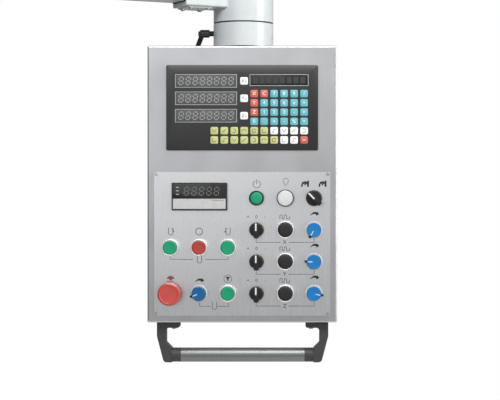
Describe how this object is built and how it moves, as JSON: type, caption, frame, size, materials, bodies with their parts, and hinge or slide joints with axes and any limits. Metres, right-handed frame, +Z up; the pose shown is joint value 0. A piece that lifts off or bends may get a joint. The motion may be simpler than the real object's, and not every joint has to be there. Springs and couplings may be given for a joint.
{
  "type": "hanging operator control pendant",
  "caption": "Operator control pendant with readout, buttons, knobs, stop button and grab handle, hung from a swivel hub on an arm.",
  "frame": {"origin": "centre of the arm end flange's outer face, on the cable hole's axis", "axes": "+Z up along the box, -Y towards the operator facing the panel, +X to the operator's right"},
  "size_m": [0.4728, 0.2382, 0.706],
  "materials": {
    "arm_paint": "gloss white enamel on steel",
    "white_paint": "gloss white enamel on castings",
    "black_rubber": "cut sheet",
    "plated_screw": "bright plated",
    "machined_steel": "turned",
    "black_polymer": "moulded",
    "brass": "turned",
    "brushed_stainless": "brushed",
    "readout_black": "satin black",
    "readout_film": "printed film",
    "smoked_window": "clear smoked",
    "zinc_sheet": "zinc plated",
    "circuit_board": "solder mask",
    "control_plate_metal": "satin anodised, printed legends",
    "bezel_metal": "satin",
    "white_plastic": "moulded",
    "grey_plastic": "moulded",
    "dark_plastic": "moulded",
    "red_plastic": "moulded",
    "green_plastic": "moulded",
    "blue_plastic": "moulded",
    "meter_flap_grey": "moulded",
    "charcoal_casting": "fine texture paint on a casting",
    "anodised_tube": "satin anodised"
  },
  "bodies": {
    "arm": {"arm_tube": "arm_paint", "arm_end_flange": "arm_paint", "arm_gasket": "black_rubber", "elbow_housing": "white_paint", "elbow_cover_plate": "white_paint", "elbow_cap": "white_paint", "elbow_screws": "plated_screw", "swivel_spindle": "machined_steel", "spindle_nut": "machined_steel"},
    "pendant": {"swivel_bush": "black_polymer", "swivel_hub": "white_paint", "hub_gasket": "black_rubber", "clamp_pad": "brass", "enclosure": "brushed_stainless", "rear_gasket": "black_rubber", "rear_cover": "brushed_stainless", "rear_cover_screws": "plated_screw", "box_screws": "plated_screw", "readout_bezel": "readout_black", "readout_membrane": "readout_film", "readout_window_panes": "smoked_window", "readout_case": "zinc_sheet", "readout_board": "circuit_board", "control_plate": "control_plate_metal", "control_plate_screws": "plated_screw", "button_bezels": "bezel_metal", "selector_bezels": "black_polymer", "knob_bezels": "white_plastic", "potentiometers": "zinc_sheet", "panel_nuts": "zinc_sheet", "contact_blocks": "grey_plastic", "estop_base": "dark_plastic", "meter_case": "grey_plastic", "meter_window": "smoked_window", "meter_display": "circuit_board", "meter_clips": "zinc_sheet", "handle_brackets": "charcoal_casting", "handle_tube": "anodised_tube"},
    "clamp_screw": {"clamp_screw": "black_polymer"},
    "clamp_handle": {"clamp_handle": "black_polymer"},
    "meter_flap": {"meter_flap": "meter_flap_grey"},
    "estop_plunger": {"estop_plunger": "dark_plastic"},
    "estop_head": {"estop_head": "red_plastic"},
    "power_button": {"power_button": "green_plastic"},
    "lamp_button": {"lamp_button": "white_plastic"},
    "spindle_forward_button": {"spindle_forward_button": "green_plastic"},
    "spindle_stop_button": {"spindle_stop_button": "red_plastic"},
    "spindle_reverse_button": {"spindle_reverse_button": "green_plastic"},
    "tapping_button": {"tapping_button": "green_plastic"},
    "x_rapid_button": {"x_rapid_button": "black_polymer"},
    "y_rapid_button": {"y_rapid_button": "black_polymer"},
    "z_rapid_button": {"z_rapid_button": "black_polymer"},
    "gear_selector": {"gear_selector": "black_polymer"},
    "x_direction_selector": {"x_direction_selector": "black_polymer"},
    "y_direction_selector": {"y_direction_selector": "black_polymer"},
    "z_direction_selector": {"z_direction_selector": "black_polymer"},
    "spindle_speed_knob": {"spindle_speed_knob": "blue_plastic"},
    "x_feed_knob": {"x_feed_knob": "blue_plastic"},
    "y_feed_knob": {"y_feed_knob": "blue_plastic"},
    "z_feed_knob": {"z_feed_knob": "blue_plastic"}
  },
  "joints": [
    {"name": "pendant_swivel", "type": "hinge", "parent": "arm", "child": "pendant", "pos_m": [0.29403, 0.14982, -0.086], "axis": [0, 0, 1], "range_deg": [-123, 177]},
    {"name": "clamp_turn", "type": "hinge", "parent": "pendant", "child": "clamp_screw", "pos_m": [0.23403, 0.14982, -0.08], "axis": [1, 0, 0], "range_deg": [0, 65]},
    {"name": "clamp_handle_lift", "type": "slide", "parent": "clamp_screw", "child": "clamp_handle", "axis": [-1, 0, 0], "range_m": [0, 0.004], "stiffness_N_per_m": 600, "springref_m": -0.003},
    {"name": "meter_flap_hinge", "type": "hinge", "parent": "pendant", "child": "meter_flap", "pos_m": [0.22003, 0.08592, -0.3895], "axis": [1, 0, 0], "range_deg": [0, 90]},
    {"name": "estop_push", "type": "slide", "parent": "pendant", "child": "estop_plunger", "axis": [0, 1, 0], "range_m": [0, 0.005], "stiffness_N_per_m": 900, "springref_m": -0.004},
    {"name": "estop_twist", "type": "hinge", "parent": "estop_plunger", "child": "estop_head", "pos_m": [0.16903, 0.09282, -0.5372], "axis": [0, 1, 0], "range_deg": [0, 35], "stiffness_Nm_per_rad": 0.08, "springref_deg": -17.19},
    {"name": "power_press", "type": "slide", "parent": "pendant", "child": "power_button", "axis": [0, 1, 0], "range_m": [0, 0.004], "stiffness_N_per_m": 700, "springref_m": -0.003},
    {"name": "lamp_press", "type": "slide", "parent": "pendant", "child": "lamp_button", "axis": [0, 1, 0], "range_m": [0, 0.004], "stiffness_N_per_m": 700, "springref_m": -0.003},
    {"name": "spindle_forward_press", "type": "slide", "parent": "pendant", "child": "spindle_forward_button", "axis": [0, 1, 0], "range_m": [0, 0.004], "stiffness_N_per_m": 700, "springref_m": -0.003},
    {"name": "spindle_stop_press", "type": "slide", "parent": "pendant", "child": "spindle_stop_button", "axis": [0, 1, 0], "range_m": [0, 0.004], "stiffness_N_per_m": 700, "springref_m": -0.003},
    {"name": "spindle_reverse_press", "type": "slide", "parent": "pendant", "child": "spindle_reverse_button", "axis": [0, 1, 0], "range_m": [0, 0.004], "stiffness_N_per_m": 700, "springref_m": -0.003},
    {"name": "tapping_press", "type": "slide", "parent": "pendant", "child": "tapping_button", "axis": [0, 1, 0], "range_m": [0, 0.004], "stiffness_N_per_m": 700, "springref_m": -0.003},
    {"name": "x_rapid_press", "type": "slide", "parent": "pendant", "child": "x_rapid_button", "axis": [0, 1, 0], "range_m": [0, 0.004], "stiffness_N_per_m": 700, "springref_m": -0.003},
    {"name": "y_rapid_press", "type": "slide", "parent": "pendant", "child": "y_rapid_button", "axis": [0, 1, 0], "range_m": [0, 0.004], "stiffness_N_per_m": 700, "springref_m": -0.003},
    {"name": "z_rapid_press", "type": "slide", "parent": "pendant", "child": "z_rapid_button", "axis": [0, 1, 0], "range_m": [0, 0.004], "stiffness_N_per_m": 700, "springref_m": -0.003},
    {"name": "gear_select", "type": "hinge", "parent": "pendant", "child": "gear_selector", "pos_m": [0.41903, 0.08982, -0.3714], "axis": [0, 1, 0], "range_deg": [0, 90]},
    {"name": "x_direction_select", "type": "hinge", "parent": "pendant", "child": "x_direction_selector", "pos_m": [0.31903, 0.08982, -0.4265], "axis": [0, 1, 0], "range_deg": [-45, 45]},
    {"name": "y_direction_select", "type": "hinge", "parent": "pendant", "child": "y_direction_selector", "pos_m": [0.31903, 0.08982, -0.48185], "axis": [0, 1, 0], "range_deg": [-45, 45]},
    {"name": "z_direction_select", "type": "hinge", "parent": "pendant", "child": "z_direction_selector", "pos_m": [0.31903, 0.08982, -0.5372], "axis": [0, 1, 0], "range_deg": [-45, 45]},
    {"name": "spindle_speed_turn", "type": "hinge", "parent": "pendant", "child": "spindle_speed_knob", "pos_m": [0.21903, 0.08982, -0.5372], "axis": [0, 1, 0], "range_deg": [-39, 261]},
    {"name": "x_feed_turn", "type": "hinge", "parent": "pendant", "child": "x_feed_knob", "pos_m": [0.41903, 0.08982, -0.4265], "axis": [0, 1, 0], "range_deg": [0, 300]},
    {"name": "y_feed_turn", "type": "hinge", "parent": "pendant", "child": "y_feed_knob", "pos_m": [0.41903, 0.08982, -0.48185], "axis": [0, 1, 0], "range_deg": [-62, 238]},
    {"name": "z_feed_turn", "type": "hinge", "parent": "pendant", "child": "z_feed_knob", "pos_m": [0.41903, 0.08982, -0.5372], "axis": [0, 1, 0], "range_deg": [-251, 49]}
  ]
}
